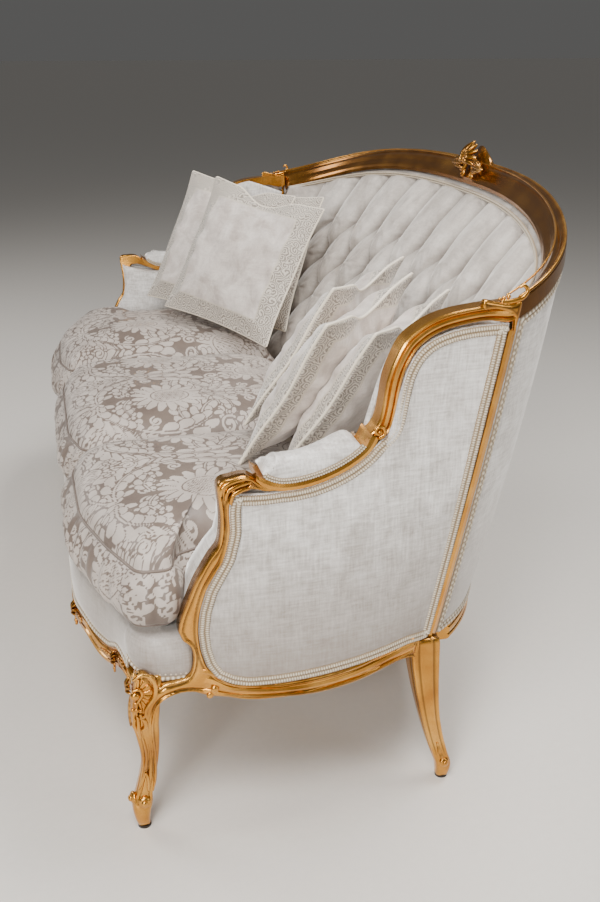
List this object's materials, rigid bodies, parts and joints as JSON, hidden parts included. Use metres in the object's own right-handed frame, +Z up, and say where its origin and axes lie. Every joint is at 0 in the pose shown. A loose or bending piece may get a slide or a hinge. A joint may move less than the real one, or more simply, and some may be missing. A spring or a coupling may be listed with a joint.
{
  "type": "french-style sofa",
  "caption": "Carved giltwood sofa in the French style: cabriole legs, curved deep-buttoned back running into low wings, padded arms, loose damask seat cushions and velvet scatter pillows.",
  "frame": {"origin": "on the floor under the middle of the whole sofa, pillows and cushions included", "axes": "+Z up, the front faces -Y, +X is the right end seen from the front, which is the end nearer to the camera in the picture"},
  "size_m": [1.8692, 1.044, 1.0931],
  "materials": {
    "silver_velvet": "matt",
    "gilt": "satin",
    "tufted_velvet": "matt",
    "frame_timber": "matt",
    "screw_steel": "satin",
    "glide": "matt",
    "pillow_velvet": "matt",
    "damask": "satin",
    "deck_cloth": "matt",
    "webbing": "matt"
  },
  "bodies": {
    "sofa": {"arm_pad_left": "silver_velvet", "arm_pad_right": "silver_velvet", "arm_post_left": "gilt", "arm_post_right": "gilt", "arm_rail_left": "gilt", "arm_rail_right": "gilt", "back_cover": "silver_velvet", "back_pad": "tufted_velvet", "back_seat_rail": "gilt", "back_tuft_buttons": "tufted_velvet", "back_uprights": "frame_timber", "corner_block_screws": "screw_steel", "corner_blocks": "frame_timber", "crest_cartouche": "gilt", "crest_rail_left": "gilt", "crest_rail_right": "gilt", "foot_glides": "glide", "front_leg_left": "gilt", "front_leg_right": "gilt", "front_seat_rail": "gilt", "inner_side_pad_left": "silver_velvet", "inner_side_pad_right": "silver_velvet", "rear_center_leg": "gilt", "rear_leg_left": "gilt", "rear_leg_right": "gilt", "rear_post_left": "gilt", "rear_post_right": "gilt", "seat_border": "silver_velvet", "seat_cross_rails": "frame_timber", "seat_deck": "deck_cloth", "seat_webbing_crosswise": "webbing", "seat_webbing_lengthwise": "webbing", "side_cover_left": "silver_velvet", "side_cover_right": "silver_velvet", "side_seat_rail_left": "gilt", "side_seat_rail_right": "gilt", "wing_rail_left": "gilt", "wing_rail_right": "gilt"},
    "left_cushion": {"seat_cushion_left": "damask"},
    "center_cushion": {"seat_cushion_center": "damask"},
    "right_cushion": {"seat_cushion_right": "damask"},
    "pillow_left_back": {"scatter_pillow_left_back": "pillow_velvet"},
    "pillow_left_middle": {"scatter_pillow_left_middle": "pillow_velvet"},
    "pillow_left_front": {"scatter_pillow_left_front": "pillow_velvet"},
    "pillow_right_back": {"scatter_pillow_right_back": "pillow_velvet"},
    "pillow_right_middle": {"scatter_pillow_right_middle": "pillow_velvet"},
    "pillow_right_front": {"scatter_pillow_right_front": "pillow_velvet"}
  },
  "joints": [
    {"name": "left_cushion_lift", "type": "slide", "parent": "sofa", "child": "left_cushion", "axis": [0, 0, 1], "range_m": [0, 0.72]},
    {"name": "center_cushion_pull", "type": "slide", "parent": "sofa", "child": "center_cushion", "axis": [0, -1, 0], "range_m": [0, 0.62]},
    {"name": "right_cushion_lift", "type": "slide", "parent": "sofa", "child": "right_cushion", "axis": [0, 0, 1], "range_m": [0, 0.72]},
    {"name": "pillow_left_back_lift", "type": "slide", "parent": "left_cushion", "child": "pillow_left_back", "axis": [0, -0.342, 0.9397], "range_m": [0, 0.6]},
    {"name": "pillow_left_middle_lift", "type": "slide", "parent": "pillow_left_back", "child": "pillow_left_middle", "axis": [0, -0.342, 0.9397], "range_m": [0, 0.6]},
    {"name": "pillow_left_front_lift", "type": "slide", "parent": "pillow_left_middle", "child": "pillow_left_front", "axis": [0, -0.342, 0.9397], "range_m": [0, 0.6]},
    {"name": "pillow_right_back_lift", "type": "slide", "parent": "right_cushion", "child": "pillow_right_back", "axis": [0, -0.342, 0.9397], "range_m": [0, 0.6]},
    {"name": "pillow_right_middle_lift", "type": "slide", "parent": "pillow_right_back", "child": "pillow_right_middle", "axis": [0, -0.342, 0.9397], "range_m": [0, 0.6]},
    {"name": "pillow_right_front_lift", "type": "slide", "parent": "pillow_right_middle", "child": "pillow_right_front", "axis": [0, -0.342, 0.9397], "range_m": [0, 0.6]}
  ]
}
